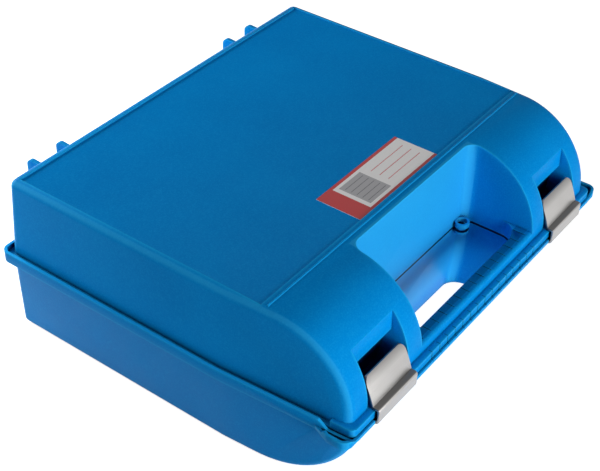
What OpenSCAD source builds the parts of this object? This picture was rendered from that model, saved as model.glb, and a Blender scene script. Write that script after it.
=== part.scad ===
// Moulded tool case with a hinged lid, a hand opening through both halves
// and two sheet steel latches. Millimetres, +Z up, origin under the middle of
// the base. -Y is the front with the handle, +Y is the hinge side.

/* [Case] */
// Half of the width over the rim, behind the taper
rim_half_w = 162.2; // [150:0.2:175]
// Distance from the origin to the front of the rim
rim_front = 145.2; // [138:0.2:155]
// Distance from the origin to the rear of the rim
rim_rear = 144.5; // [138:0.2:155]
// Amount by which each side draws in from the taper line to the front
taper_in = 6.4; // [2:0.2:9]
// Distance in front of the origin at which the sides start to draw in
taper_start = 45; // [30:1:60]
// Wall thickness of both halves
wall = 2.5; // [2:0.1:3.2]
// Gap between the two halves when the case is shut
parting_gap = 0.4; // [0.3:0.05:0.8]

/* [Base] */
// Height of the base up to the parting
base_h = 62.4; // [55:0.2:70]
// Half of the width of the base wall under the rim
base_half_w = 157.5; // [150:0.2:165]
// Draft of the base side walls from the rim to the floor
base_draft = 2.3; // [1:0.1:4]
// Radius of the big round along the front bottom of the base
base_round = 73; // [64:0.5:80]
// Thickness of the flange round the base
base_flange_t = 2.8; // [2.2:0.1:4]
// Height of the lip that stands up from the flange
lip_h = 5.4; // [3.5:0.1:6.5]
// Thickness of the lip
lip_t = 2.2; // [1.6:0.1:2.6]

/* [Lid] */
// Height of the lid from its rim to its top
lid_h = 64.7; // [58:0.2:72]
// Half of the width of the lid wall at its rim
lid_half_w = 156.5; // [150:0.2:157]
// Radius of the big round along the front top of the lid
lid_round = 57; // [50:0.5:60]
// Slope of the rear wall of the lid, measured at the top
lid_rear_slope = 7; // [3:0.5:9]
// Depth of the flat panel that is sunk in the top
panel_sink = 1.2; // [0.6:0.1:1.6]
// Half of the width of the sunk panel
panel_half_w = 150; // [140:0.5:150]

/* [Hand opening] */
// Half of the width of the hand opening at the parting
hand_half_w = 71.5; // [60:0.5:74]
// Distance from the origin to the rear wall of the hand opening
hand_rear = 84.3; // [80:0.2:90]
// Depth of the grip bar from front to back
bar_depth = 10.6; // [9:0.1:14]
// Height of the lid half of the grip bar
bar_h = 12.8; // [10:0.1:16]
// Distance between the fine grooves across the grip
groove_pitch = 9.5; // [7:0.5:14]
// Depth of the fine grooves
groove_depth = 0.4; // [0.3:0.1:0.8]

/* [Latches] */
// Distance from the middle of the case to the middle of a latch
latch_x = 110.2; // [106:0.1:112]
// Width of a latch plate
latch_w = 42.2; // [36:0.2:44]
// Thickness of the latch plate
plate_t = 1.5; // [1:0.1:1.8]
// Radius of the latch pin
latch_pin_r = 1.25; // [1:0.05:1.4]
// Running clearance round the latch pin
latch_pin_fit = 0.06; // [0.02:0.01:0.1]
// Clearance between a latch plate and the recess at each end
latch_side_gap = 1.2; // [0.6:0.1:1.6]

/* [Hinges] */
// Distance from the middle of the case to the inner arm of a hinge
arm_inner_x = 92; // [85:0.5:96]
// Distance between the two lid arms of a hinge
arm_spacing = 27.5; // [24:0.5:32]
// Thickness of a lid arm
arm_t = 3; // [2.4:0.1:3.6]
// Radius of the hinge barrel
barrel_r = 4.2; // [3.6:0.1:4.4]
// Radius of the hinge pin
hinge_pin_r = 1.5; // [1.2:0.05:1.8]
// Running clearance round the hinge pin
hinge_pin_fit = 0.06; // [0.02:0.01:0.1]
// Height of the hinge pin above the parting
hinge_rise = 6.6; // [6:0.1:8]

/* [Padlock eyes and label] */
// Outer radius of a padlock eye
eye_r = 5.5; // [5:0.1:6]
// Radius of the hole in a padlock eye
eye_bore_r = 3.85; // [3:0.05:4.2]
// Height of the ring of a padlock eye
eye_h = 3.6; // [3:0.1:5]
// Width of the label
label_w = 92.8; // [60:0.2:110]
// Depth of the label from front to back
label_d = 35; // [20:0.2:50]

/* [Hidden] */
$fn = 64;

blue = "#0a7fd0";
steel = "#bdbdbb";
paper = "#e8e4e2";

// Heights
lid_z = base_h + parting_gap;
top_z = lid_z + lid_h;
panel_z = top_z - panel_sink;
flange_low_z = base_h - base_flange_t;
lip_top_z = base_h + lip_h;
side_ledge_t = 1.8;
front_ledge_t = 5.8;
ledge_z = lid_z + front_ledge_t;

// Plan of the rim
taper_run = rim_front - taper_start;
taper_angle = atan(taper_in / taper_run);
corner_r = 7;
corner_steps = 8;
lid_fit = 0.4;
lid_flange_in = lip_t + lid_fit;
tongue_front = 110;
lip_end = rim_front - 18.2;
lip_fall = 8;
base_front_in = 1.6;

// Front rounds
edge_r = 6;
base_edge_r = 5;
rear_corner_r = 9;
lid_front = rim_front - 6.1;
base_front = rim_front - 2.2;
lid_rear = rim_rear - 3;
base_rear = rim_rear - 3.5;
base_rear_draft = 1.5;
lid_draft = 0.6;
panel_back = 10.2;

// Hand opening
hand_draft = 1.5;
hand_rear_draft_lid = 2.8;
hand_rear_draft_base = 5.8;
hand_corner_r = 9;
bar_inner = lid_front - bar_depth;
bar_top_r = 3;
bar_inner_r = 1;
cove_r = 13;
eye_lift = 1.8;
groove_w = 0.6;
far = 200;

// Latches
plate_top_z = lid_z + 27.2;
recess_rear = lid_front - 15.1;
recess_lean = 1;
slot_z = plate_top_z + 3.5;
slot_depth = 6;
recess_half = latch_w / 2 + latch_side_gap;
curl_r = 2.6;
latch_y = -rim_front + curl_r + 2;
latch_z = base_h - 5.2;
seat_gap = 0.9;
seat_rear = -latch_y - curl_r - seat_gap;
leg_face = rim_front + 1.8;
joggle_gap = 0.7;
joggle_z = ledge_z + joggle_gap;
joggle_y = -leg_face + 4.6;
plate_top_y = -rim_front + 11;
plate_bow_r = 95;
plate_corner_r = 6;
ear_t = 3;
latch_pin_len = 2 * (recess_half + ear_t);

// Finger cups at the front corners of the base
cup_half_w = rim_half_w + 0.5;
cup_corner_r = 6.5;
cup_rear = lip_end - lip_fall;
cup_flare = 12;
cup_inner_x = cup_half_w - 17;
cup_t = 2;
cup_rise = 3.4;
cup_sink = 3.8;
cup_deep = 7;

// Hinges
hinge_y = rim_rear + 0.8 + barrel_r;
hinge_z = base_h + hinge_rise;
arm_top_z = 117;
arm_rear = hinge_y + barrel_r;
shelf_drop = 0.5;
side_gap = 0.35;
hinge_x = arm_inner_x + arm_spacing / 2;
barrel_len = arm_spacing - arm_t - 2 * side_gap;
hinge_pin_len = arm_spacing + arm_t;
rib_t = 3;

// Ribs inside
rib_thin = 1.6;
rib_low = 3;

// Points of the rim outline, drawn in by side, front and rear amounts
function arc_pts(c, r, a0, a1) =
    [for (i = [0:corner_steps]) let (a = a0 + (a1 - a0) * i / corner_steps) [c[0] + r * cos(a), c[1] + r * sin(a)]];
function half_plan(side, front, rear) =
    let (w = rim_half_w - side,
         wf = w - taper_in,
         yf = -rim_front + front,
         yr = rim_rear - rear,
         rc = max(corner_r - side, 1.5))
    concat(arc_pts([wf - rc + 0.3, yf + rc], rc, -90, -taper_angle),
           [[w, -taper_start]],
           arc_pts([w - rc, yr - rc], rc, 0, 90));
function mirrored(p) = [for (i = [len(p) - 1:-1:0]) [-p[i][0], p[i][1]]];
module plan(side, front, rear) {
    p = half_plan(side, front, rear);
    polygon(concat(p, mirrored(p)));
}

// One half of the case as a smooth solid that stands on its rim plane and grows
// upwards. inset = 0 gives the outside, inset = wall gives the hollow.
module moulded_body(h, w_rim, w_end, r_edge, r_arc, y_front, y_rear, rear_in, inset) {
    r = max(r_edge - inset, 1.2);
    r_corner = rear_corner_r - inset;
    big = r_arc - inset;
    arc_y = -y_front + r_arc;
    arc_h = h - r_arc;
    top_h = h - inset;
    we = w_end - inset;
    wr = w_rim - inset;
    in_at_arc = (-taper_start - arc_y) * tan(taper_angle);
    intersection() {
        hull() {
            for (s = [-1, 1]) {
                front_x = s * (we - in_at_arc - r);
                translate([front_x, arc_y, arc_h])
                    rotate([0, 0, -s * taper_angle])
                        rotate([90, 0, -90])
                            rotate_extrude(angle = 90, $fn = 88)
                                translate([big - r, 0])
                                    circle(r, $fn = 24);
                translate([front_x + s * (wr - we), arc_y, 0])
                    rotate([0, 0, -s * taper_angle])
                        translate([0, -big + r, min(arc_h, 0) - 1])
                            cylinder(r = r, h = 2, $fn = 32);
                translate([s * (we - r), -taper_start, top_h - r])
                    sphere(r, $fn = 24);
                translate([s * (we - r), y_rear - rear_in - inset - r, top_h - r])
                    sphere(r, $fn = 24);
                translate([s * (wr - r), -taper_start, -1])
                    cylinder(r = r, h = 1, $fn = 32);
                translate([s * (wr - r_corner), y_rear - inset - r_corner, -1])
                    cylinder(r = r_corner, h = 1, $fn = 48);
            }
        }
        translate([-far, -far, inset > 0 ? -0.9 : 0])
            cube([2 * far, 2 * far, h + 5]);
    }
}
module lid_body(inset) {
    translate([0, 0, lid_z])
        moulded_body(lid_h, lid_half_w, lid_half_w - lid_draft, edge_r, lid_round,
                     lid_front, lid_rear, lid_rear_slope, inset);
}
module base_body(inset) {
    translate([0, 0, base_h])
        mirror([0, 0, 1])
            moulded_body(base_h, base_half_w, base_half_w - base_draft, base_edge_r, base_round,
                         base_front, base_rear, base_rear_draft, inset);
}

// Profile in the YZ plane, run along X between two x values
module along_x(x0, x1) {
    translate([x0, 0, 0])
        rotate([90, 0, 90])
            linear_extrude(x1 - x0)
                children();
}

// Hand opening with draft: the walls lean and the two rear corners are round
module hand_cut(z0, z1, half0, half1, rear0, rear1, grow) {
    hull() {
        translate([0, 0, z0])
            linear_extrude(0.01)
                hand_plan(half0 + grow, rear0 - grow);
        translate([0, 0, z1])
            linear_extrude(0.01)
                hand_plan(half1 + grow, rear1 - grow);
    }
}
module hand_plan(half, rear) {
    r = hand_corner_r;
    polygon(concat([[-half, -far], [half, -far]],
                   arc_pts([half - r, -rear - r], r, 0, 90),
                   arc_pts([-half + r, -rear - r], r, 90, 180)));
}

// Grip bar of the lid: round ridge at the front, sloped face towards the hand
module lid_bar_profile(shrink, low) {
    ridge_y = -lid_front + bar_top_r;
    ridge_z = lid_z + bar_h - bar_top_r;
    r = bar_top_r - shrink;
    inner = -bar_inner - shrink;
    union() {
        polygon([[-lid_front + shrink, low], [-lid_front + shrink, ridge_z], [ridge_y, ridge_z + r],
                 [inner - bar_inner_r, ridge_z + r], [inner, ridge_z + r - bar_inner_r], [inner, low]]);
        translate([ridge_y, ridge_z])
            circle(r, $fn = 40);
    }
}

// Cove between an end of the grip bar and the side wall of the hand opening
module bar_cove(s, z0, z1) {
    y0 = -bar_inner - 1;
    scale([s, 1, 1])
        translate([0, 0, z0])
            linear_extrude(z1 - z0)
                polygon(concat([[hand_half_w - cove_r, y0], [hand_half_w + 1, y0], [hand_half_w + 1, -bar_inner + cove_r]],
                               arc_pts([hand_half_w - cove_r, -bar_inner + cove_r], cove_r, 0, -90)));
}
// Grip bar of the base: the same, upside down and a little deeper
module base_bar_profile(shrink, high) {
    under_z = base_h - bar_h;
    r = bar_top_r - shrink;
    front_y = -base_front + 1.4;
    union() {
        polygon([[front_y + shrink, high], [front_y + shrink, under_z + bar_top_r],
                 [front_y + bar_top_r, under_z + shrink], [-bar_inner - bar_top_r, under_z + shrink],
                 [-bar_inner - shrink, under_z + bar_top_r], [-bar_inner - shrink, high]]);
        translate([front_y + bar_top_r, under_z + bar_top_r])
            circle(r, $fn = 40);
        translate([-bar_inner - bar_top_r, under_z + bar_top_r])
            circle(r, $fn = 40);
    }
}

// Base half of the case
module base_shell() {
    color(blue)
        difference() {
            union() {
                base_body(0);
                difference() {
                    union() {
                        translate([0, 0, flange_low_z])
                            linear_extrude(base_flange_t)
                                plan(0, 0, 0);
                        finger_cup(1);
                        finger_cup(-1);
                    }
                    cup_hollow(1);
                    cup_hollow(-1);
                }
                lip();
                for (s = [-1, 1]) {
                    hinge_bracket(s);
                    latch_ears(s);
                }
            }
            difference() {
                base_body(wall);
                base_blocks();
            }
            base_hand_opening();
            for (s = [-1, 1]) {
                latch_seat(s);
                translate([s * hinge_x, hinge_y, hinge_z])
                    rotate([0, 90, 0])
                        cylinder(r = hinge_pin_r + hinge_pin_fit, h = barrel_len + 2, center = true);
                translate([s * latch_x, latch_y, latch_z])
                    rotate([0, 90, 0])
                        cylinder(r = latch_pin_r, h = latch_pin_len + 0.02, center = true);
                padlock_bore(s, flange_low_z - 1, base_flange_t + 4);
            }
        }
}

// Outline of a finger cup at a front corner, drawn in by an amount
module cup_plan(in) {
    r = cup_corner_r - in;
    polygon(concat([[cup_inner_x + in, -cup_rear], [cup_inner_x + in, -rim_front + in]],
                   arc_pts([cup_half_w - cup_corner_r, -rim_front + cup_corner_r], r, -90, 0),
                   [[cup_half_w - in, -cup_rear - cup_flare], [cup_half_w - in - 5, -cup_rear]]));
}
// Cup that flares out round the corner, so that a finger gets under the lid
module finger_cup(s) {
    mirror([s < 0 ? 1 : 0, 0, 0])
        difference() {
            union() {
                hull() {
                    translate([0, 0, flange_low_z + 0.5])
                        linear_extrude(0.01)
                            cup_plan(0);
                    translate([0, 0, base_h - cup_deep])
                        linear_extrude(0.01)
                            cup_plan(5);
                }
                translate([0, 0, flange_low_z + 0.4])
                    linear_extrude(base_flange_t + cup_rise - 0.4)
                        cup_plan(0);
            }
            rotate([90, 0, 0])
                linear_extrude(far)
                    polygon([[0, base_h], [cup_half_w - 9.5, base_h], [cup_half_w - 3, base_h + cup_rise + 1],
                             [0, base_h + cup_rise + 1]]);
            along_x(0, far)
                polygon([[-cup_rear - 6, base_h], [-cup_rear - 10, base_h + cup_rise + 1],
                         [0, base_h + cup_rise + 1], [0, base_h]]);
        }
}
module cup_hollow(s) {
    mirror([s < 0 ? 1 : 0, 0, 0])
        translate([0, 0, base_h - cup_sink])
            linear_extrude(cup_sink + cup_rise + 2)
                cup_plan(cup_t);
}

// Lip that stands up from the flange along the sides and the rear
module lip() {
    difference() {
        translate([0, 0, base_h - 1])
            linear_extrude(lip_h + 1)
                difference() {
                    plan(0, 0, 0);
                    plan(lip_t, 0, lip_t);
                }
        along_x(-far, far)
            polygon([[-far, base_h], [-lip_end, base_h], [-lip_end + lip_fall, lip_top_z + 1],
                     [-far, lip_top_z + 1]]);
    }
}

// Solid left standing in the hollow of the base
module base_blocks() {
    translate([0, 0, -1])
        hand_cut(0, base_h + 2, hand_half_w + hand_draft, hand_half_w,
                 hand_rear - hand_rear_draft_base, hand_rear, wall);
    for (s = [-1, 1]) {
        translate([s * latch_x - recess_half - wall, -far, latch_z - 9])
            cube([2 * (recess_half + wall), far - seat_rear + wall, base_h]);
    }
    for (y = [-30:40:100]) {
        translate([-far, y, 0])
            cube([2 * far, rib_thin, wall + rib_low]);
    }
    for (x = [-100:50:100]) {
        translate([x, -70, 0])
            cube([rib_thin, 2 * far, wall + rib_low]);
    }
}

// Hand opening of the base with the lower half of the grip bar left in it
module base_hand_opening() {
    difference() {
        translate([0, 0, -0.5])
            hand_cut(0, base_h + 1, hand_half_w + hand_draft, hand_half_w,
                     hand_rear - hand_rear_draft_base, hand_rear, 0);
        along_x(-far, far)
            base_bar_profile(0, base_h + 2);
        translate([-far, -far, flange_low_z])
            cube([2 * far, far - bar_inner - 0.01, 10]);
        for (s = [-1, 1]) {
            bar_cove(s, base_h - bar_h, base_h + 2);
            padlock_eye(s, flange_low_z, base_flange_t + 2);
        }
    }
    intersection() {
        along_x(-hand_half_w + wall, hand_half_w - wall)
            base_bar_profile(wall, base_h + 2);
        translate([-far, -far, 0])
            cube([2 * far, far - bar_inner - wall, far]);
    }
}

function eye_x() = hand_half_w - 9.6;
function eye_y() = hand_rear + eye_r - 1.1;

// Padlock eye: a flat ring in a rear corner of the hand opening
module padlock_eye(s, low, tall) {
    translate([s * eye_x(), -eye_y(), low])
        cylinder(r = eye_r, h = tall);
}

// Hole for the shackle of a padlock
module padlock_bore(s, low, tall) {
    translate([s * eye_x(), -eye_y(), low])
        cylinder(r = eye_bore_r, h = tall);
}

// Ears under the flange that carry the latch pin
module latch_ears(s) {
    for (e = [-1, 1]) {
        x0 = s * latch_x + e * (recess_half + ear_t / 2) - ear_t / 2;
        along_x(x0, x0 + ear_t)
            union() {
                translate([latch_y, latch_z])
                    circle(curl_r);
                polygon([[latch_y - curl_r, latch_z], [latch_y - curl_r, flange_low_z + 1],
                         [-seat_rear + wall, flange_low_z + 1], [-seat_rear + wall, latch_z - curl_r],
                         [latch_y, latch_z - curl_r]]);
            }
    }
}

// Recess in the front of the base for the foot of a latch
module latch_seat(s) {
    translate([s * latch_x - recess_half, -far, latch_z - 6])
        cube([2 * recess_half, far - seat_rear, base_h]);
}

// Shelf, ribs and barrel that carry a hinge pin on the base
module hinge_bracket(s) {
    shelf_top = flange_low_z + base_flange_t - shelf_drop;
    outer = arm_spacing / 2 + arm_t / 2 + 1;
    translate([s * hinge_x, 0, 0]) {
        along_x(-outer, outer)
            polygon([[base_rear - 1.5, flange_low_z - 8], [base_rear - 1.5, shelf_top],
                     [arm_rear, shelf_top], [arm_rear, shelf_top - 3]]);
        for (e = [-1, 1]) {
            x0 = e * (barrel_len / 2 - rib_t / 2) - rib_t / 2;
            along_x(x0, x0 + rib_t)
                polygon([[rim_rear - 1, shelf_top - 1], [rim_rear - 1, hinge_z - 1], [hinge_y, hinge_z],
                         [arm_rear - 0.3, hinge_z], [arm_rear - 0.3, shelf_top - 1]]);
        }
        translate([-barrel_len / 2, hinge_y, hinge_z])
            rotate([0, 90, 0])
                cylinder(r = barrel_r, h = barrel_len);
    }
}

// Lid half of the case
module lid_shell() {
    color(blue)
        difference() {
            union() {
                lid_body(0);
                lid_flange();
                for (s = [-1, 1]) {
                    lid_arms(s);
                }
                crest_bead();
                lid_tongue();
            }
            difference() {
                lid_body(wall);
                lid_blocks();
            }
            lid_hand_opening();
            top_panel();
            for (s = [-1, 1]) {
                latch_recess(s);
                translate([s * hinge_x, hinge_y, hinge_z])
                    rotate([0, 90, 0])
                        cylinder(r = hinge_pin_r, h = hinge_pin_len + 0.02, center = true);
                padlock_bore(s, lid_z, eye_lift + eye_h + 2);
            }
        }
}

// Flange round the foot of the lid, thicker at the front where the latches hold it
module lid_flange() {
    translate([0, 0, lid_z])
        linear_extrude(side_ledge_t)
            plan(lid_flange_in, base_front_in, lid_flange_in);
    translate([0, 0, lid_z])
        intersection() {
            linear_extrude(front_ledge_t)
                plan(lid_flange_in, base_front_in, lid_flange_in);
            translate([-far, -far, 0])
                cube([2 * far, far - lip_end, front_ledge_t]);
        }
}

// Rib under the lid that drops inside the base along the sides and the rear
module lid_tongue() {
    tongue_in = rim_half_w - base_half_w + wall + lid_fit;
    rear_in = rim_rear - base_rear + wall + lid_fit;
    tongue_t = 1.8;
    intersection() {
        translate([0, 0, lid_z - 2.4])
            linear_extrude(6)
                difference() {
                    tongue_plan(tongue_in, rear_in);
                    tongue_plan(tongue_in + tongue_t, rear_in + tongue_t);
                }
        translate([-far, -tongue_front, 0])
            cube([2 * far, 2 * far, far]);
    }
}
module tongue_plan(side, rear) {
    difference() {
        plan(side, 12, rear);
        for (s = [-1, 1]) {
            translate([s * (rim_half_w - side), rim_rear - rear, 0])
                rotate([0, 0, 45])
                    square(rear_corner_r * 0.9, center = true);
        }
    }
}

// Solid left standing in the hollow of the lid
module lid_blocks() {
    hand_cut(lid_z - 2, top_z, hand_half_w, hand_half_w + hand_draft,
             hand_rear, hand_rear - hand_rear_draft_lid, wall);
    for (s = [-1, 1]) {
        translate([s * latch_x - recess_half - wall, -far, lid_z - 2])
            cube([2 * (recess_half + wall), far - recess_rear + slot_depth + wall, far]);
        translate([s * hinge_x - arm_spacing / 2 - 4, lid_rear - 16, lid_z - 2])
            cube([rib_thin, 40, 50]);
        translate([s * hinge_x + arm_spacing / 2 + 2.4, lid_rear - 16, lid_z - 2])
            cube([rib_thin, 40, 50]);
    }
    for (y = [-30:40:100]) {
        translate([-far, y, panel_z - wall - rib_low])
            cube([2 * far, rib_thin, far]);
    }
    translate([-panel_half_w - 1, -90, panel_z - wall])
        cube([2 * panel_half_w + 2, 2 * far, far]);
}

// Hand opening of the lid with the upper half of the grip bar left in it
module lid_hand_opening() {
    difference() {
        hand_cut(lid_z - 1, top_z + 5, hand_half_w, hand_half_w + hand_draft,
                 hand_rear, hand_rear - hand_rear_draft_lid, 0);
        along_x(-far, far)
            lid_bar_profile(0, lid_z - 2);
        translate([-far, -far, lid_z - 2])
            cube([2 * far, far - lid_front + 0.01, front_ledge_t + 2]);
        for (s = [-1, 1]) {
            bar_cove(s, lid_z - 2, lid_z + bar_h);
            padlock_eye(s, lid_z + eye_lift, eye_h);
        }
    }
    along_x(-hand_half_w + wall, hand_half_w - wall)
        intersection() {
            lid_bar_profile(wall, lid_z - 2);
            translate([-lid_front, lid_z - 1])
                square([bar_depth, bar_h - 3.5]);
        }
    grip_grooves();
}

// Fine grooves across the inner slope of the grip bar and the front of the flange
module grip_grooves() {
    count = floor((hand_half_w - 5) / groove_pitch);
    ridge_rear = -lid_front + bar_top_r;
    for (i = [-count:count]) {
        x = i * groove_pitch;
        along_x(x - groove_w / 2, x + groove_w / 2)
            difference() {
                translate([ridge_rear, lid_z + 2.5])
                    square([bar_depth, bar_h]);
                lid_bar_profile(groove_depth, lid_z);
            }
        translate([x - groove_w / 2, -rim_front + base_front_in - 1, lid_z - 1])
            cube([groove_w, 1 + groove_depth, front_ledge_t - 0.2]);
    }
}

// Sunk panel in the top of the lid
module top_panel() {
    front = -lid_front + lid_round + panel_back;
    translate([-panel_half_w, front, panel_z])
        cube([2 * panel_half_w, lid_rear - lid_rear_slope - edge_r - 1 - front, 10]);
}

// Fine raised line where the curved front meets the flat top
module crest_bead() {
    bead_r = 0.9;
    bead_half = panel_half_w - 1;
    translate([-bead_half, -lid_front + lid_round + 6.3, top_z - 0.35])
        rotate([0, 90, 0])
            cylinder(r = bead_r, h = 2 * bead_half, $fn = 24);
}

// Recess in the curved front of the lid behind a latch, with a deeper pocket
// below, so that a fingertip gets hold of the top of the plate
module latch_recess(s) {
    along_x(s * latch_x - recess_half, s * latch_x + recess_half)
        polygon([[-far, ledge_z], [-recess_rear + slot_depth, ledge_z], [-recess_rear + slot_depth, slot_z - 2],
                 [-recess_rear - recess_lean, slot_z], [-recess_rear, top_z], [-far, top_z]]);
    translate([s * latch_x - recess_half + wall, -lid_front + wall, lid_z - 1])
        cube([2 * (recess_half - wall), lid_front - recess_rear + slot_depth + 1, front_ledge_t - wall + 1]);
}

// Pair of arms on the rear wall of the lid that turn on a hinge pin
module lid_arms(s) {
    for (e = [-1, 1]) {
        x0 = s * hinge_x + e * arm_spacing / 2 - arm_t / 2;
        along_x(x0, x0 + arm_t)
            arm_profile();
    }
}
module arm_profile() {
    corner = 5;
    wall_y = lid_rear - lid_rear_slope - 1;
    union() {
        translate([hinge_y, hinge_z])
            circle(barrel_r);
        translate([arm_rear - corner, arm_top_z - corner])
            circle(corner);
        polygon([[hinge_y, hinge_z], [hinge_y + barrel_r, hinge_z], [arm_rear, arm_top_z - corner],
                 [arm_rear - corner, arm_top_z - corner], [arm_rear - corner, arm_top_z],
                 [wall_y, arm_top_z - 1], [wall_y, lip_top_z + 4.2], [rim_rear - 2, lip_top_z + 1.4],
                 [hinge_y - barrel_r, hinge_z]]);
    }
}

// Profile of a latch: curl round the pin, leg, step over the lid flange and a
// slightly bowed plate
function plate_centre() =
    let (dy = plate_top_y - joggle_y, dz = plate_top_z - joggle_z - plate_t,
         chord = sqrt(dy * dy + dz * dz),
         rise = sqrt(plate_bow_r * plate_bow_r - chord * chord / 4))
    [(plate_top_y + joggle_y) / 2 + rise * dz / chord,
     (plate_top_z + joggle_z + plate_t) / 2 - rise * dy / chord];
module latch_profile() {
    c = plate_centre();
    a_top = atan2(plate_top_z - c[1], plate_top_y - c[0]);
    a_low = atan2(joggle_z + plate_t - c[1], joggle_y - c[0]) + 0.3;
    reach = 1.5 * plate_bow_r;
    bend = 1.2;
    neck_z = latch_z + curl_r;
    difference() {
        union() {
            translate([latch_y, latch_z])
                circle(curl_r);
            polygon([[latch_y - 1, latch_z], [latch_y - 1, neck_z - 0.2],
                     [-leg_face + plate_t + 1, neck_z + 1], [-leg_face + plate_t, neck_z + 2],
                     [-leg_face + plate_t, joggle_z], [joggle_y + plate_t, joggle_z],
                     [joggle_y + plate_t, joggle_z + 0.6 * plate_t], [joggle_y + 0.2, joggle_z + plate_t],
                     [-leg_face + bend, joggle_z + plate_t], [-leg_face, joggle_z + plate_t - bend],
                     [-leg_face, neck_z + 0.6], [-leg_face + bend, neck_z - 1]]);
            intersection() {
                difference() {
                    translate(c)
                        circle(plate_bow_r, $fn = 180);
                    translate(c)
                        circle(plate_bow_r - plate_t, $fn = 180);
                }
                polygon([c, [c[0] + reach * cos(a_low), c[1] + reach * sin(a_low)],
                         [c[0] + reach * cos(a_top), c[1] + reach * sin(a_top)]]);
            }
        }
        translate([latch_y, latch_z])
            circle(latch_pin_r + latch_pin_fit);
    }
}
module latch_plate() {
    difference() {
        along_x(-latch_w / 2, latch_w / 2)
            latch_profile();
        for (e = [-1, 1]) {
            translate([e * (latch_w / 2 - plate_corner_r), -far, plate_top_z - plate_corner_r])
                rotate([-90, 0, 0])
                    linear_extrude(far + latch_y + 15)
                        difference() {
                            translate([e > 0 ? 0 : -plate_corner_r - 1, -plate_corner_r - 1])
                                square([plate_corner_r + 1, plate_corner_r + 1]);
                            circle(plate_corner_r);
                        }
        }
    }
}
module latch_left() {
    color(steel)
        translate([-latch_x, 0, 0])
            latch_plate();
}
module latch_right() {
    color(steel)
        translate([latch_x, 0, 0])
            latch_plate();
}

// Pins
module pin_along_x(x, y, z, r, length) {
    color(steel)
        translate([x, y, z])
            rotate([0, 90, 0])
                cylinder(r = r, h = length, center = true);
}
module latch_pin_left() {
    pin_along_x(-latch_x, latch_y, latch_z, latch_pin_r, latch_pin_len);
}
module latch_pin_right() {
    pin_along_x(latch_x, latch_y, latch_z, latch_pin_r, latch_pin_len);
}
module hinge_pin_left() {
    pin_along_x(-hinge_x, hinge_y, hinge_z, hinge_pin_r, hinge_pin_len);
}
module hinge_pin_right() {
    pin_along_x(hinge_x, hinge_y, hinge_z, hinge_pin_r, hinge_pin_len);
}

// Paper label on the sunk panel
module label() {
    front = -lid_front + lid_round + panel_back + 0.4;
    color(paper)
        translate([-label_w / 2, front, panel_z])
            cube([label_w, label_d, 0.3]);
}

base_shell();
lid_shell();
latch_left();
latch_right();
latch_pin_left();
latch_pin_right();
hinge_pin_left();
hinge_pin_right();
label();
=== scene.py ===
# %% [markdown]
# # A moulded tool case
# The case is two thin plastic mouldings, two bent steel latches, four wire pins and a printed
# label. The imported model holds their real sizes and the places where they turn. This script
# dresses them: rounded moulded edges, grained plastic, brushed steel and printed paper.

# %% Load the fixed frame
import math

import bmesh
import bpy
from mathutils import Matrix, Vector


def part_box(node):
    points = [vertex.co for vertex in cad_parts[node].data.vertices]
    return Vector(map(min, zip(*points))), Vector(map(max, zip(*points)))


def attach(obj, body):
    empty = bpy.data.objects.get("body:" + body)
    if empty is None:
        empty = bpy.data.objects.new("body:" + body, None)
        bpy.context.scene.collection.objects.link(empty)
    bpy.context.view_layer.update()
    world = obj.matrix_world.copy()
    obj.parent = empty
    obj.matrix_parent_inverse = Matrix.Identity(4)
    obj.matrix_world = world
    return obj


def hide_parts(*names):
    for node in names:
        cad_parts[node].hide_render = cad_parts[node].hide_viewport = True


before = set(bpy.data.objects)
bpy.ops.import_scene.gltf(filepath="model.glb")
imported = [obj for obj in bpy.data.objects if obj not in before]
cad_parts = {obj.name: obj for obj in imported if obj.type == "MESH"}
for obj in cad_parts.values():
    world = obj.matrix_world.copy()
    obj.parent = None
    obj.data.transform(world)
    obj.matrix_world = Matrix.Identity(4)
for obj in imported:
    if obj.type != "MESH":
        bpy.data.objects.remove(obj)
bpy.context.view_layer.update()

MM = 0.001


def add_object(name, data):
    thing = bpy.data.objects.new(name, data)
    bpy.context.scene.collection.objects.link(thing)
    return thing


# %% [markdown]
# ## Camera first
# The photograph looks down on the front left corner with a fairly long lens. Its place and
# direction were solved from the straight edges of the case, so they are plain numbers here:
# a position, a viewing direction and a small roll.

# %% Camera
EYE = Vector((-592.6, -413.0, 622.5)) * MM
VIEW = Vector((0.63842, 0.45405, -0.62150)).normalized()
ROLL = math.radians(1.8)
LENS_MM = 76.63
SENSOR_MM = 36.0
NEAREST = 0.01


def add_camera():
    right = VIEW.cross(Vector((0, 0, 1))).normalized()
    up = right.cross(VIEW)
    turned_right = right * math.cos(ROLL) + up * math.sin(ROLL)
    turned_up = up * math.cos(ROLL) - right * math.sin(ROLL)
    data = bpy.data.cameras.new("camera")
    data.lens = LENS_MM
    data.sensor_width = SENSOR_MM
    data.clip_start = NEAREST
    camera = add_object("camera", data)
    axes = Matrix((turned_right, turned_up, -VIEW)).transposed()
    camera.matrix_world = Matrix.Translation(EYE) @ axes.to_4x4()
    bpy.context.scene.camera = camera


add_camera()
print("camera at", [round(x, 3) for x in EYE])

# %% [markdown]
# ## A small kit for materials
# Every finish here is a Principled shader with a few procedural layers. Patterns read Object
# coordinates, which are metres in the case's own frame, because each piece's object sits at the
# origin. Grain of half a millimetre is then a noise of scale 2000.


# %% Material and coordinates
def new_material(name):
    material = bpy.data.materials.new(name)
    material.use_nodes = True
    tree = material.node_tree
    shader = tree.nodes["Principled BSDF"]
    return material, tree, shader


def object_coordinates(tree, stretch=(1, 1, 1)):
    source = tree.nodes.new("ShaderNodeTexCoord")
    mapping = tree.nodes.new("ShaderNodeMapping")
    mapping.inputs["Scale"].default_value = stretch
    tree.links.new(source.outputs["Object"], mapping.inputs["Vector"])
    return mapping.outputs["Vector"]


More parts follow.
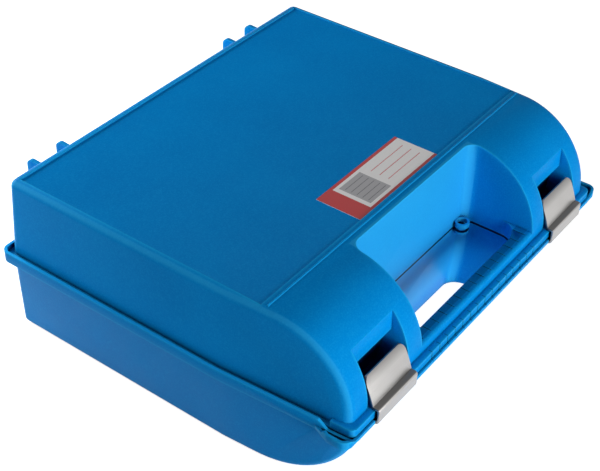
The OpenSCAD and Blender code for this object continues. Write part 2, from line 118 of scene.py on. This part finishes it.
def place_in_case(tree):
    """Sockets X, Y and Z: metres along the front, towards the rear and upwards."""
    place = tree.nodes.new("ShaderNodeSeparateXYZ")
    tree.links.new(object_coordinates(tree), place.inputs[0])
    return place.outputs


# %% Values and masks
def ramp(tree, value, low, high, start, end):
    """A value between low and high becomes a value between start and end."""
    node = tree.nodes.new("ShaderNodeMapRange")
    node.inputs["From Min"].default_value = low
    node.inputs["From Max"].default_value = high
    node.inputs["To Min"].default_value = start
    node.inputs["To Max"].default_value = end
    tree.links.new(value, node.inputs["Value"])
    return node.outputs["Result"]


def share(tree, mask, most):
    """A mask from 0 to 1 becomes one from 0 to most."""
    return ramp(tree, mask, 0.0, 1.0, 0.0, most)


def math_node(tree, operation, first, second=0.0):
    node = tree.nodes.new("ShaderNodeMath")
    node.operation = operation
    for socket, value in zip(node.inputs, (first, second)):
        if isinstance(value, (int, float)):
            socket.default_value = value
        else:
            tree.links.new(value, socket)
    return node.outputs[0]


def all_of(tree, *masks):
    """The product of several masks."""
    result = masks[0]
    for mask in masks[1:]:
        result = math_node(tree, "MULTIPLY", result, mask)
    return result


def up_to(tree, value, high, soft):
    """1 up to high, then falling to 0 over the soft width."""
    return ramp(tree, value, high, high + soft, 1.0, 0.0)


def band(tree, value, low, high, soft):
    """1 between low and high, falling to 0 over the soft width on both sides."""
    rise = ramp(tree, value, low - soft, low, 0.0, 1.0)
    return all_of(tree, rise, up_to(tree, value, high, soft))


# %% Patterns, colours and bumps
# Most values of a noise lie in this span.
NOISE_SPAN = (0.3, 0.7)
AO_SAMPLES = 6


def noise(tree, vector, scale, detail=4.0, roughness=0.55):
    node = tree.nodes.new("ShaderNodeTexNoise")
    node.inputs["Scale"].default_value = scale
    node.inputs["Detail"].default_value = detail
    node.inputs["Roughness"].default_value = roughness
    tree.links.new(vector, node.inputs["Vector"])
    return node.outputs["Fac"]


def mix_colour(tree, factor, first, second):
    node = tree.nodes.new("ShaderNodeMix")
    node.data_type = "RGBA"
    for socket, value in (("A", first), ("B", second)):
        target = next(i for i in node.inputs if i.name == socket and i.type == "RGBA")
        if isinstance(value, tuple):
            target.default_value = (*value, 1.0)
        else:
            tree.links.new(value, target)
    tree.links.new(factor, node.inputs["Factor"])
    return next(o for o in node.outputs if o.type == "RGBA")


def bump(tree, height, strength, distance, base=None):
    node = tree.nodes.new("ShaderNodeBump")
    node.inputs["Strength"].default_value = strength
    node.inputs["Distance"].default_value = distance
    tree.links.new(height, node.inputs["Height"])
    if base is not None:
        tree.links.new(base, node.inputs["Normal"])
    return node.outputs["Normal"]


def openness(tree, reach, inside=False):
    """1 on open surfaces, less where other surfaces are nearer than reach."""
    node = tree.nodes.new("ShaderNodeAmbientOcclusion")
    node.samples = AO_SAMPLES
    node.inside = inside
    node.inputs["Distance"].default_value = reach
    return node.outputs["AO"]


# %% [markdown]
# ## Painted light and shade in the hand opening and the latch slots
# The rear wall of the hand opening gets painted light, which makes it pale. The flat of the grip,
# its fine grooves and the parting line get painted shade. The slot behind each latch gets painted
# shade too: nearly black at its foot, turning blue towards the top. Each mark is a box in the
# case's own coordinates, with soft borders, so it stays on its piece when the lid opens.

# %% Colours and places of the painted light and shade
BLUE = (0.0, 0.220, 0.640)
BLUE_LIGHT = (0.0, 0.245, 0.685)
# Painted shade colour for the grip, grooves, seam, latch slots, slits and hollows.
PAINTED_SHADE_BLUE = (0.0, 0.012, 0.045)
# Pale blue of the speckle dots, and of the painted highlight on the outer edges.
SPECKLE_AND_HIGHLIGHT_BLUE = (0.015, 0.42, 0.82)
# Painted light on the hand opening's rear wall and painted highlight on the rounded sides.
PAINTED_LIGHT_BLUE = (0.03, 0.42, 0.82)
# Share of painted light on the rear wall of the hand opening.
WALL_LIGHT_SHARE = 0.5
# Share of painted shade on the top of the grip bar.
GRIP_SHADE_SHARE = 0.35
# Share of painted shade in the middle of each fine groove.
GROOVE_SHADE_SHARE = 0.6
LINE_CORE = 0.2 * MM
LINE_EDGE = 0.5 * MM

SOFT = 1.0 * MM
BAR_SOFT = 0.5 * MM
CRISP = 0.3 * MM
FACE_SOFT = 0.2 * MM
HAND_HALF = 71.5 * MM
HAND_REAR = -84.3 * MM
WALL_LEAN = 4 * MM
BAR_REAR = -126.3 * MM
BAR_RIDGE = -134.1 * MM
BAR_TOP = 75.6 * MM
FLANGE_FACE = -140.9 * MM
FLANGE_TOP = 69 * MM
PARTING = 62.6 * MM
SEAM_HALF = 0.8 * MM
SEAM_PAST = 2 * MM
SEAM_FRONT = -128 * MM
GROOVE_PITCH = 9.5 * MM
LAST_GROOVE = 66.5 * MM


# %% Painted light and shade in the hand opening
def beside_middle(tree, place, half, soft):
    """1 up to the distance half from the case's middle plane, on both sides."""
    return up_to(tree, math_node(tree, "ABSOLUTE", place["X"]), half, soft)


def painted_wall_light(tree, tint, place):
    """Painted light on the rear wall, which leans, so its box is deep enough for its foot and top.
    """
    wall = all_of(
        tree,
        beside_middle(tree, place, HAND_HALF, SOFT),
        band(tree, place["Y"], HAND_REAR - WALL_LEAN, HAND_REAR + WALL_LEAN, SOFT),
    )
    return mix_colour(tree, share(tree, wall, WALL_LIGHT_SHARE), tint, PAINTED_LIGHT_BLUE)


def bar_top(tree, place):
    """1 on the flat top of the grip bar."""
    return all_of(
        tree,
        beside_middle(tree, place, HAND_HALF, SOFT),
        band(tree, place["Z"], BAR_TOP - SOFT, BAR_TOP + BAR_SOFT, SOFT),
        band(tree, place["Y"], BAR_RIDGE, BAR_REAR, BAR_SOFT),
    )


def flange_face(tree, place):
    """1 on the front face of the lid's flange."""
    flange = band(tree, place["Z"], PARTING - SOFT, FLANGE_TOP, CRISP)
    return all_of(tree, flange, up_to(tree, place["Y"], FLANGE_FACE, FACE_SOFT))


def groove_lines(tree, place):
    """Painted shade in the middle of each fine groove, by the distance to the nearest one."""
    nearest = math_node(tree, "PINGPONG", place["X"], GROOVE_PITCH / 2)
    line = ramp(tree, nearest, LINE_CORE, LINE_EDGE, GROOVE_SHADE_SHARE, 0.0)
    return all_of(tree, line, beside_middle(tree, place, LAST_GROOVE + SOFT, CRISP))


def painted_grip_shade(tree, tint, place):
    # Painted shade on the flat top of the grip bar, and more in the grooves of the bar and flange
    # face.
    top = bar_top(tree, place)
    tint = mix_colour(tree, share(tree, top, GRIP_SHADE_SHARE), tint, PAINTED_SHADE_BLUE)
    grooved = math_node(tree, "MAXIMUM", top, flange_face(tree, place))
    return mix_colour(tree, all_of(tree, groove_lines(tree, place), grooved), tint, PAINTED_SHADE_BLUE)


def painted_seam_shade(tree, tint, place):
    """Painted shade along the parting line inside the hand opening."""
    seam = all_of(
        tree,
        band(tree, place["Y"], SEAM_FRONT, HAND_REAR + SEAM_PAST, CRISP),
        band(tree, place["Z"], PARTING - SEAM_HALF, PARTING + SEAM_HALF, CRISP),
        beside_middle(tree, place, HAND_HALF + SEAM_PAST, SOFT),
    )
    return mix_colour(tree, seam, tint, PAINTED_SHADE_BLUE)


# %% Slot behind each latch
LATCH_X = 110.2 * MM
SLOT_HALF = 22 * MM
SLOT_REAR = -115.5 * MM
SLOT_FRONT = -128 * MM
SLOT_FOOT = 60 * MM
SLOT_TOP = 76 * MM
SLOT_FADE = 10 * MM


def painted_slot_shade(tree, tint, place):
    # Painted shade in the slot behind each latch, black at its foot and fading out towards the top.
    from_middle = math_node(tree, "ABSOLUTE", place["X"])
    slot = all_of(
        tree,
        band(tree, from_middle, LATCH_X - SLOT_HALF, LATCH_X + SLOT_HALF, SOFT),
        band(tree, place["Y"], SLOT_FRONT, SLOT_REAR, 2 * SOFT),
        up_to(tree, place["Z"], SLOT_TOP, SLOT_FADE),
        ramp(tree, place["Z"], SLOT_FOOT, SLOT_FOOT + SOFT, 0.0, 1.0),
    )
    return mix_colour(tree, slot, tint, PAINTED_SHADE_BLUE)


# %% [markdown]
# ## Moulded plastic
# The shells are polypropylene in a strong blue. The mould was spark-eroded, which leaves a fine
# satin grain, and such a case always has faint flow clouds and rubbed places. The grain is a
# bump of about a tenth of a millimetre at a quarter of its strength, the clouds shift the colour
# by about a tenth, a speckle adds fine pale dots, and the rubs change the roughness, so the
# highlight breaks up instead of running as a clean strip. Ambient occlusion finds the outer
# edges, which get a painted highlight, and the slits and hollows, which get painted shade. The
# rounded sides get a painted highlight too. The painted light and shade of the hand opening and
# the latch slots go on after the painted edge highlight and before the painted shade of the
# slits and hollows.

# %% Blue plastic
# Each ramp is written as low, high, start, end.
CLOUDS = (0.35, 0.65, 0.0, 1.0)
SPECKLE = (0.42, 0.75, 0.0, 0.35)
# The next ramps paint a highlight on outer edges and shade in slits and hollows.
EDGE_HIGHLIGHT = (0.60, 0.94, 0.75, 0.0)
SLIT_SHADE = (0.32, 0.72, 0.95, 0.0)
HOLLOW_SHADE = (0.14, 0.46, 0.97, 0.0)
PLASTIC_ROUGHNESS = (*NOISE_SPAN, 0.32, 0.42)
# Share of the painted highlight on the rounded sides.
SIDE_HIGHLIGHT = 0.4
SIDE_TURN_FROM = 0.50
SIDE_TURN_TO = 0.80
SIDE_TURN_SOFT = 0.15
EDGE_REACH = 2.1 * MM
SLIT_REACH = 4 * MM
HOLLOW_REACH = 16 * MM
CLOUD_SCALE = 14.0
SPECKLE_SCALE = 900.0
RUB_SCALE = 60.0
WAVE_SCALE = 25.0
WAVE_HEIGHT = 0.6 * MM
GRAIN_SCALE = 1500.0
GRAIN_HEIGHT = 0.12 * MM
BUMP_STRENGTH = 0.25


def rounded_sides(tree):
    """1 where the surface turns from a side wall to the front, top or bottom."""
    surface = tree.nodes.new("ShaderNodeNewGeometry")
    normal = tree.nodes.new("ShaderNodeSeparateXYZ")
    tree.links.new(surface.outputs["Normal"], normal.inputs[0])
    sideways = math_node(tree, "ABSOLUTE", normal.outputs["X"])
    return band(tree, sideways, SIDE_TURN_FROM, SIDE_TURN_TO, SIDE_TURN_SOFT)


def varied_blue_and_highlights(tree, where):
    clouds = noise(tree, where, CLOUD_SCALE, detail=5.0)
    tint = mix_colour(tree, ramp(tree, clouds, *CLOUDS), BLUE, BLUE_LIGHT)
    speckle = noise(tree, where, SPECKLE_SCALE, detail=2.0)
    tint = mix_colour(tree, ramp(tree, speckle, *SPECKLE), tint, SPECKLE_AND_HIGHLIGHT_BLUE)
    # Painted highlight where the surface turns from a side wall.
    tint = mix_colour(tree, share(tree, rounded_sides(tree), SIDE_HIGHLIGHT), tint, PAINTED_LIGHT_BLUE)
    # Painted highlight on the outer edges.
    edge = openness(tree, EDGE_REACH, inside=True)
    return mix_colour(tree, ramp(tree, edge, *EDGE_HIGHLIGHT), tint, SPECKLE_AND_HIGHLIGHT_BLUE)


def painted_corner_shade(tree, tint):
    # Painted shade in slits and hollows, found by ambient occlusion.
    slit = ramp(tree, openness(tree, SLIT_REACH), *SLIT_SHADE)
    tint = mix_colour(tree, slit, tint, PAINTED_SHADE_BLUE)
    hollow = ramp(tree, openness(tree, HOLLOW_REACH), *HOLLOW_SHADE)
    return mix_colour(tree, hollow, tint, PAINTED_SHADE_BLUE)


def moulded_plastic(name):
    material, tree, shader = new_material(name)
    where = object_coordinates(tree)
    place = place_in_case(tree)
    tint = varied_blue_and_highlights(tree, where)
    for mark in (painted_wall_light, painted_grip_shade, painted_seam_shade, painted_slot_shade):
        tint = mark(tree, tint, place)
    tree.links.new(painted_corner_shade(tree, tint), shader.inputs["Base Color"])
    rubs = noise(tree, where, RUB_SCALE, detail=8.0, roughness=0.7)
    tree.links.new(ramp(tree, rubs, *PLASTIC_ROUGHNESS), shader.inputs["Roughness"])
    waves = noise(tree, where, WAVE_SCALE, detail=2.0)
    grain = noise(tree, where, GRAIN_SCALE, detail=2.0)
    wavy = bump(tree, waves, BUMP_STRENGTH, WAVE_HEIGHT)
    grained = bump(tree, grain, BUMP_STRENGTH, GRAIN_HEIGHT, wavy)
    tree.links.new(grained, shader.inputs["Normal"])
    shader.inputs["IOR"].default_value = 1.49
    shader.inputs["Specular IOR Level"].default_value = 0.03
    shader.inputs["Specular Tint"].default_value = (0.1, 0.65, 1.0, 1.0)
    return material


plastic = moulded_plastic("blue moulded plastic")
print("plastic made:", plastic.name)

# %% [markdown]
# ## Steel
# The latches are stamped from bright sheet and brushed along their width, so the lines run in X
# and the highlight spreads across them. A noise that is stretched along X draws the lines. The
# bends, the top of the plate's step and the upper end that faces the slot are darker. The pins
# are drawn wire, which only has a faint mark along its length.

# %% Brushed steel
BEND_REACH = 6 * MM
BEND_SHADE = (0.55, 0.96, 0.9, 0.0)
STEP_SHADE = 0.9
STEP_LOW = 70.1 * MM
STEP_HIGH = 71.0 * MM
STEP_FRONT = -146.2 * MM
STEP_REAR = -142.2 * MM
PLATE_END = 90 * MM
END_SHADE = 0.6
END_FADE = 7 * MM
LINE_STRETCH = (0.03, 1.0, 1.0)
LINE_HEIGHT = 0.1 * MM
LINE_STRENGTH = 0.12
LINE_TONE = 0.86
SHADE_TONE = 0.18


def latch_shade(tree):
    """1 on the dark top of the latch's step, and rising towards the end that faces the slot."""
    place = place_in_case(tree)
    step = all_of(
        tree,
        band(tree, place["Z"], STEP_LOW, STEP_HIGH, CRISP),
        band(tree, place["Y"], STEP_FRONT, STEP_REAR, CRISP),
    )
    end = ramp(tree, place["Z"], PLATE_END - END_FADE, PLATE_END, 0.0, END_SHADE)
    return math_node(tree, "MAXIMUM", step, end)


def brushed_steel(name, line_scale, base, rough_low, rough_high):
    material, tree, shader = new_material(name)
    lines = object_coordinates(tree, LINE_STRETCH)
    brushed = noise(tree, lines, line_scale, detail=6.0, roughness=0.7)
    line_tone = tuple(c * LINE_TONE for c in base)
    tone = mix_colour(tree, ramp(tree, brushed, *NOISE_SPAN, 0.0, 1.0), line_tone, base)
    bend = ramp(tree, openness(tree, BEND_REACH), *BEND_SHADE)
    shade = math_node(tree, "MAXIMUM", bend, share(tree, latch_shade(tree), STEP_SHADE))
    tone = mix_colour(tree, shade, tone, tuple(c * SHADE_TONE for c in base))
    tree.links.new(tone, shader.inputs["Base Color"])
    roughness = ramp(tree, brushed, *NOISE_SPAN, rough_low, rough_high)
    tree.links.new(roughness, shader.inputs["Roughness"])
    tree.links.new(bump(tree, brushed, LINE_STRENGTH, LINE_HEIGHT), shader.inputs["Normal"])
    shader.inputs["Metallic"].default_value = 1.0
    return material


latch_steel = brushed_steel("brushed latch steel", 2600.0, (0.50, 0.49, 0.48), 0.34, 0.46)
pin_steel = brushed_steel("drawn pin steel", 900.0, (0.46, 0.46, 0.47), 0.28, 0.36)
print("steels made:", latch_steel.name, "and", pin_steel.name)

# %% [markdown]
# ## Rounded mouldings
# A moulding has no knife edges: every rim has a radius that catches light as a thin line. The
# packed shells hold the big rounds. A copy of each shell gets its small ones here: its loose
# triangles are merged, flat areas become single faces, and a Bevel modifier rounds the edges
# that are sharper than a set angle. Each edge's bevel weight says how wide its round is.

# %% Copying and rounding
MERGE_WITHIN = 0.01 * MM
FLAT_WITHIN = math.radians(0.6)
BEVEL_ABOVE = math.radians(28)
SHARP_ABOVE = math.radians(30)
BEVEL_SEGMENTS = 3


def merged_copy(node, name):
    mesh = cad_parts[node].data.copy()
    shape = bmesh.new()
    shape.from_mesh(mesh)
    bmesh.ops.remove_doubles(shape, verts=shape.verts, dist=MERGE_WITHIN)
    bmesh.ops.dissolve_limit(
        shape,
        angle_limit=FLAT_WITHIN,
        verts=shape.verts,
        edges=shape.edges,
    )
    shape.to_mesh(mesh)
    shape.free()
    return add_object(name, mesh)


def is_sharp(edge, angle):
    return len(edge.link_faces) == 2 and edge.calc_face_angle(0.0) > angle


def keep_modifiers(piece):
    """The result of the piece's modifiers becomes its mesh."""
    bpy.context.view_layer.update()
    evaluated = piece.evaluated_get(bpy.context.evaluated_depsgraph_get())
    finished = bpy.data.meshes.new_from_object(evaluated)
    piece.modifiers.clear()
    piece.data = finished


def round_edges(piece, width, weight_of=None):
    """Rounds the piece's sharp edges. weight_of gives the share of width for an edge's middle."""
    shape = bmesh.new()
    shape.from_mesh(piece.data)
    layer = shape.edges.layers.float.new("bevel_weight_edge")
    for edge in shape.edges:
        if is_sharp(edge, BEVEL_ABOVE):
            middle = (edge.verts[0].co + edge.verts[1].co) / 2
            edge[layer] = weight_of(middle) if weight_of else 1.0
    shape.to_mesh(piece.data)
    shape.free()
    bevel = piece.modifiers.new("edges", "BEVEL")
    bevel.limit_method = "WEIGHT"
    bevel.width = width
    bevel.segments = BEVEL_SEGMENTS
    bevel.harden_normals = False
    keep_modifiers(piece)


def smooth_by_angle(piece):
    shape = bmesh.new()
    shape.from_mesh(piece.data)
    for face in shape.faces:
        face.smooth = True
    for edge in shape.edges:
        edge.smooth = not is_sharp(edge, SHARP_ABOVE)
    shape.to_mesh(piece.data)
    shape.free()


def dress(piece, node, body, material):
    piece.data.materials.clear()
    piece.data.materials.append(material)
    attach(piece, body)
    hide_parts(node)
    print(piece.name, "faces:", len(piece.data.polygons))


# %% [markdown]
# ## Lid and base
# The rims where the hand opening meets the top and the curved front are rounded widely, because
# fingers go over them, and the other edges only a little. On the grip bar the rounds are next to
# nothing, so that its fine grooves keep their sharp edges.

# %% Lid and base
RIM_ROUND = 2.4 * MM
SMALL_ROUND = 0.6 * MM
GROOVE_ROUND = 0.04 * MM
RIM_BAND = 4.0 * MM
ABOVE_BAR = 80 * MM
GRIP_REAR = -120 * MM


def on_grip(middle):
    return abs(middle.x) < HAND_HALF and middle.y < GRIP_REAR and middle.z < ABOVE_BAR


def on_rim(middle):
    at_side = abs(abs(middle.x) - HAND_HALF) < RIM_BAND and middle.y < HAND_REAR + RIM_BAND
    at_rear = abs(middle.y - HAND_REAR) < RIM_BAND and abs(middle.x) < HAND_HALF + RIM_BAND
    return middle.z > ABOVE_BAR and (at_side or at_rear)


def lid_weight(middle):
    if on_grip(middle):
        return GROOVE_ROUND / RIM_ROUND
    return 1.0 if on_rim(middle) else SMALL_ROUND / RIM_ROUND


def make_shell(node, name, body, weight_of=None):
    piece = merged_copy(node, name)
    round_edges(piece, RIM_ROUND if weight_of else SMALL_ROUND, weight_of)
    smooth_by_angle(piece)
    dress(piece, node, body, plastic)


make_shell("lid_shell", "lid_moulding", "lid", lid_weight)
make_shell("base_shell", "base_moulding", "base")

# %% [markdown]
# ## Latch plates
# A stamped plate has a small round along its cut edges, which shows as a bright line.

# %% Latch plates
PLATE_ROUND = 0.3 * MM

for side in ("left", "right"):
    plate = merged_copy(f"latch_{side}", f"latch_plate_{side}")
    round_edges(plate, PLATE_ROUND)
    smooth_by_angle(plate)
    dress(plate, f"latch_{side}", f"latch_{side}", latch_steel)

# %% [markdown]
# ## Wire pins by a rule
# Four wire pins repeat with two sizes, so one Geometry Nodes tree makes them all. It sets four
# points on a line: the two ends, and a point one chamfer in from each end. The radius is full at
# the inner points and one chamfer less at the ends, and a circle is swept along.

# %% Pin profile
PIN_POINTS = 4
PIN_SIDES = 40
PIN_CHAMFER = 0.25 * MM


def pin_sizes(tree):
    """The tree's inputs, which each pin fills in."""
    for name in ("Length", "Radius", "Chamfer"):
        tree.interface.new_socket(name=name, in_out="INPUT", socket_type="NodeSocketFloat")
    tree.interface.new_socket(name="Finish", in_out="INPUT", socket_type="NodeSocketMaterial")
    tree.interface.new_socket(name="Pin", in_out="OUTPUT", socket_type="NodeSocketGeometry")
    return tree.nodes.new("NodeGroupInput").outputs


def pin_profile(tree, sizes):
    """The place of each point on the X axis, and the wire's thickness there."""
    index = tree.nodes.new("GeometryNodeInputIndex").outputs[0]
    from_middle = math_node(tree, "SUBTRACT", index, (PIN_POINTS - 1) / 2)
    at_end = math_node(tree, "GREATER_THAN", math_node(tree, "ABSOLUTE", from_middle), 1.0)
    at_inner = math_node(tree, "SUBTRACT", 1.0, at_end)
    inwards = math_node(tree, "MULTIPLY", at_inner, sizes["Chamfer"])
    half = math_node(tree, "MULTIPLY", sizes["Length"], 0.5)
    reach = math_node(tree, "SUBTRACT", half, inwards)
    side = math_node(tree, "SIGN", from_middle)
    place = tree.nodes.new("ShaderNodeCombineXYZ")
    tree.links.new(math_node(tree, "MULTIPLY", side, reach), place.inputs["X"])
    cut = math_node(tree, "MULTIPLY", at_end, sizes["Chamfer"])
    return place.outputs[0], math_node(tree, "SUBTRACT", sizes["Radius"], cut)


# %% Pin tree
def swept_circle(tree, place, thickness):
    line = tree.nodes.new("GeometryNodeCurvePrimitiveLine")
    points = tree.nodes.new("GeometryNodeResampleCurve")
    points.inputs["Count"].default_value = PIN_POINTS
    move = tree.nodes.new("GeometryNodeSetPosition")
    ring = tree.nodes.new("GeometryNodeCurvePrimitiveCircle")
    ring.inputs["Resolution"].default_value = PIN_SIDES
    ring.inputs["Radius"].default_value = 1.0
    width = tree.nodes.new("GeometryNodeSetCurveRadius")
    sweep = tree.nodes.new("GeometryNodeCurveToMesh")
    sweep.inputs["Fill Caps"].default_value = True
    tree.links.new(line.outputs[0], points.inputs["Curve"])
    tree.links.new(points.outputs[0], move.inputs["Geometry"])
    tree.links.new(place, move.inputs["Position"])
    tree.links.new(move.outputs[0], width.inputs["Curve"])
    tree.links.new(thickness, width.inputs["Radius"])
    tree.links.new(width.outputs[0], sweep.inputs["Curve"])
    tree.links.new(ring.outputs["Curve"], sweep.inputs["Profile Curve"])
    if "Scale" in sweep.inputs:
        tree.links.new(thickness, sweep.inputs["Scale"])
    return sweep.outputs[0]


def pin_tree():
    tree = bpy.data.node_groups.new("wire pin", "GeometryNodeTree")
    sizes = pin_sizes(tree)
    wire = swept_circle(tree, *pin_profile(tree, sizes))
    real = tree.nodes.new("GeometryNodeRealizeInstances")
    finish = tree.nodes.new("GeometryNodeSetMaterial")
    result = tree.nodes.new("NodeGroupOutput")
    tree.links.new(wire, real.inputs[0])
    tree.links.new(real.outputs[0], finish.inputs["Geometry"])
    tree.links.new(sizes["Finish"], finish.inputs["Material"])
    tree.links.new(finish.outputs[0], result.inputs[0])
    return tree


# %% Four pins
def make_pin(tree, node, body):
    low, high = (Vector(corner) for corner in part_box(node))
    sizes = {
        "Length": high.x - low.x,
        "Radius": (high.z - low.z) / 2,
        "Chamfer": PIN_CHAMFER,
        "Finish": pin_steel,
    }
    piece = add_object(f"{node}_wire", bpy.data.meshes.new(f"{node}_wire"))
    wire = piece.modifiers.new("wire", "NODES")
    wire.node_group = tree
    for item in tree.interface.items_tree:
        if item.in_out == "INPUT":
            wire[item.identifier] = sizes[item.name]
    keep_modifiers(piece)
    piece.data.transform(Matrix.Translation((low + high) / 2))
    smooth_by_angle(piece)
    dress(piece, node, body, pin_steel)


wire_pin = pin_tree()
for side in ("left", "right"):
    make_pin(wire_pin, f"latch_pin_{side}", "base")
    make_pin(wire_pin, f"hinge_pin_{side}", "lid")

# %% [markdown]
# ## Printed label
# The label is glossy paper with plain printed fields: a red end and red borders, a grey panel
# with ruled lines to write on, and thin red rules beside it. Each field is a rectangle in Object
# coordinates, so the print is exact and stays with the label. Masks are products of simple
# comparisons.

# %% Print layout
PAPER = (0.90, 0.89, 0.89)
PAPER_LIGHT = (0.94, 0.93, 0.93)
RED = (0.55, 0.03, 0.035)
GREY = (0.42, 0.42, 0.44)
DARK_INK = (0.16, 0.16, 0.18)
RULE_WIDTH = 0.015
PAPER_SCALE = 400.0
PAPER_ROUGHNESS = (*NOISE_SPAN, 0.28, 0.36)
CREASE_SCALE = 60.0
CREASE_HEIGHT = 0.3 * MM
CREASE_STRENGTH = 0.3


def ruled(ink, left, right, first, pitch, count):
    """Thin lines from left to right, the first one nearest the front."""
    fronts = [first + pitch * i for i in range(count)]
    return [(ink, left, right, front, front + RULE_WIDTH) for front in fronts]


def printed_fields():
    """Ink, then left, right, front and rear as shares of the label's width and depth."""
    return [
        (RED, 0.0, 0.16, 0.0, 1.0),
        (RED, 0.16, 1.0, 0.0, 0.07),
        (RED, 0.16, 1.0, 0.93, 1.0),
        (GREY, 0.20, 0.46, 0.14, 0.86),
        *ruled(DARK_INK, 0.22, 0.44, 0.22, 0.13, 5),
        *ruled(RED, 0.52, 0.94, 0.30, 0.20, 3),
    ]


# %% Label print
def rectangle_mask(tree, place, left, right, front, rear):
    """1 inside the rectangle, 0 outside, in metres of the case's frame."""
    return all_of(
        tree,
        math_node(tree, "GREATER_THAN", place["X"], left),
        math_node(tree, "LESS_THAN", place["X"], right),
        math_node(tree, "GREATER_THAN", place["Y"], front),
        math_node(tree, "LESS_THAN", place["Y"], rear),
    )


def printed_paper(low, high):
    material, tree, shader = new_material("printed label paper")
    place = place_in_case(tree)
    paper = noise(tree, object_coordinates(tree), PAPER_SCALE)
    colour = mix_colour(tree, paper, PAPER, PAPER_LIGHT)
    width, depth = high.x - low.x, high.y - low.y
    for ink, left, right, front, rear in printed_fields():
        sides = (low.x + left * width, low.x + right * width)
        ends = (low.y + front * depth, low.y + rear * depth)
        mask = rectangle_mask(tree, place, *sides, *ends)
        colour = mix_colour(tree, mask, colour, ink)
    tree.links.new(colour, shader.inputs["Base Color"])
    tree.links.new(ramp(tree, paper, *PAPER_ROUGHNESS), shader.inputs["Roughness"])
    crease = noise(tree, object_coordinates(tree), CREASE_SCALE, detail=3.0)
    tree.links.new(bump(tree, crease, CREASE_STRENGTH, CREASE_HEIGHT), shader.inputs["Normal"])
    return material


label_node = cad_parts["label"]
label_node.data.materials.clear()
label_node.data.materials.append(printed_paper(*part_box("label")))
print("fields on the label:", len(printed_fields()))

# %% [markdown]
# ## Floor and light
# The photograph is a cut-out on white. A white floor keeps the soft shadow, and the world is
# white only for camera, mirror and glass rays. The main lamp is large and stands low before the
# front, a little to the left, so the rounded front and the hand opening are bright and the flat
# top stays dark. A weaker lamp near the floor lights the foot of the front. Two small lamps
# behind lighten the rear of the top and of the left side.

# %% Floor
FLOOR_HALF = 6.0
FLOOR_DROP = 0.2 * MM
FLOOR_TONE = (0.78, 0.78, 0.78, 1)
FLOOR_LIFT = 0.8


def seen_directly(tree):
    """1 for camera, mirror and glass rays, 0 for the rays that light the case."""
    path = tree.nodes.new("ShaderNodeLightPath").outputs
    through = math_node(tree, "MAXIMUM", path["Is Glossy Ray"], path["Is Transmission Ray"])
    return math_node(tree, "MAXIMUM", path["Is Camera Ray"], through)


def add_floor():
    shape = bmesh.new()
    bmesh.ops.create_grid(shape, x_segments=1, y_segments=1, size=FLOOR_HALF)
    mesh = bpy.data.meshes.new("floor")
    shape.to_mesh(mesh)
    shape.free()
    floor = add_object("floor", mesh)
    mesh.transform(Matrix.Translation((0, 0, -FLOOR_DROP)))
    material, tree, shader = new_material("white floor")
    shader.inputs["Base Color"].default_value = FLOOR_TONE
    shader.inputs["Roughness"].default_value = 0.9
    shader.inputs["Specular IOR Level"].default_value = 0.1
    shader.inputs["Emission Color"].default_value = (1, 1, 1, 1)
    tree.links.new(share(tree, seen_directly(tree), FLOOR_LIFT), shader.inputs["Emission Strength"])
    mesh.materials.append(material)


add_floor()

# %% World
WORLD_LIGHT = 0.04
WORLD_WHITE = 1.0


def add_background(tree, strength):
    background = tree.nodes.new("ShaderNodeBackground")
    background.inputs["Strength"].default_value = strength
    return background.outputs[0]


def add_world():
    world = bpy.data.worlds.new("studio")
    bpy.context.scene.world = world
    world.use_nodes = True
    tree = world.node_tree
    tree.nodes.clear()
    output = tree.nodes.new("ShaderNodeOutputWorld")
    mix = tree.nodes.new("ShaderNodeMixShader")
    tree.links.new(seen_directly(tree), mix.inputs["Fac"])
    tree.links.new(add_background(tree, WORLD_LIGHT), mix.inputs[1])
    tree.links.new(add_background(tree, WORLD_WHITE), mix.inputs[2])
    tree.links.new(mix.outputs[0], output.inputs["Surface"])


add_world()

# %% Lamps
LAMP_AIM = Vector((0, 0, 0.06))


def add_lamp(name, place, size, power):
    data = bpy.data.lights.new(name, "AREA")
    data.shape = "DISK"
    data.size = size
    data.energy = power
    lamp = add_object(name, data)
    aim = LAMP_AIM - Vector(place)
    lamp.visible_camera = False
    lamp.matrix_world = Matrix.Translation(place) @ aim.to_track_quat("-Z", "Y").to_matrix().to_4x4()
    print(name, "at", place, "with", power, "W")


add_lamp("main lamp", (-0.36, -1.87, 0.64), 1.0, 31.5)
add_lamp("low lamp", (-0.35, -1.3, 0.1), 0.4, 3.0)
add_lamp("rear lamp", (-0.05, 0.6, 0.3), 0.3, 2.6)
add_lamp("rear left lamp", (-0.28, 0.42, 0.25), 0.2, 0.9)

# %% [markdown]
# ## Finish
# The view transform is Standard, so a colour renders about as it is written.

# %% Finish
bpy.context.scene.view_settings.view_transform = "Standard"
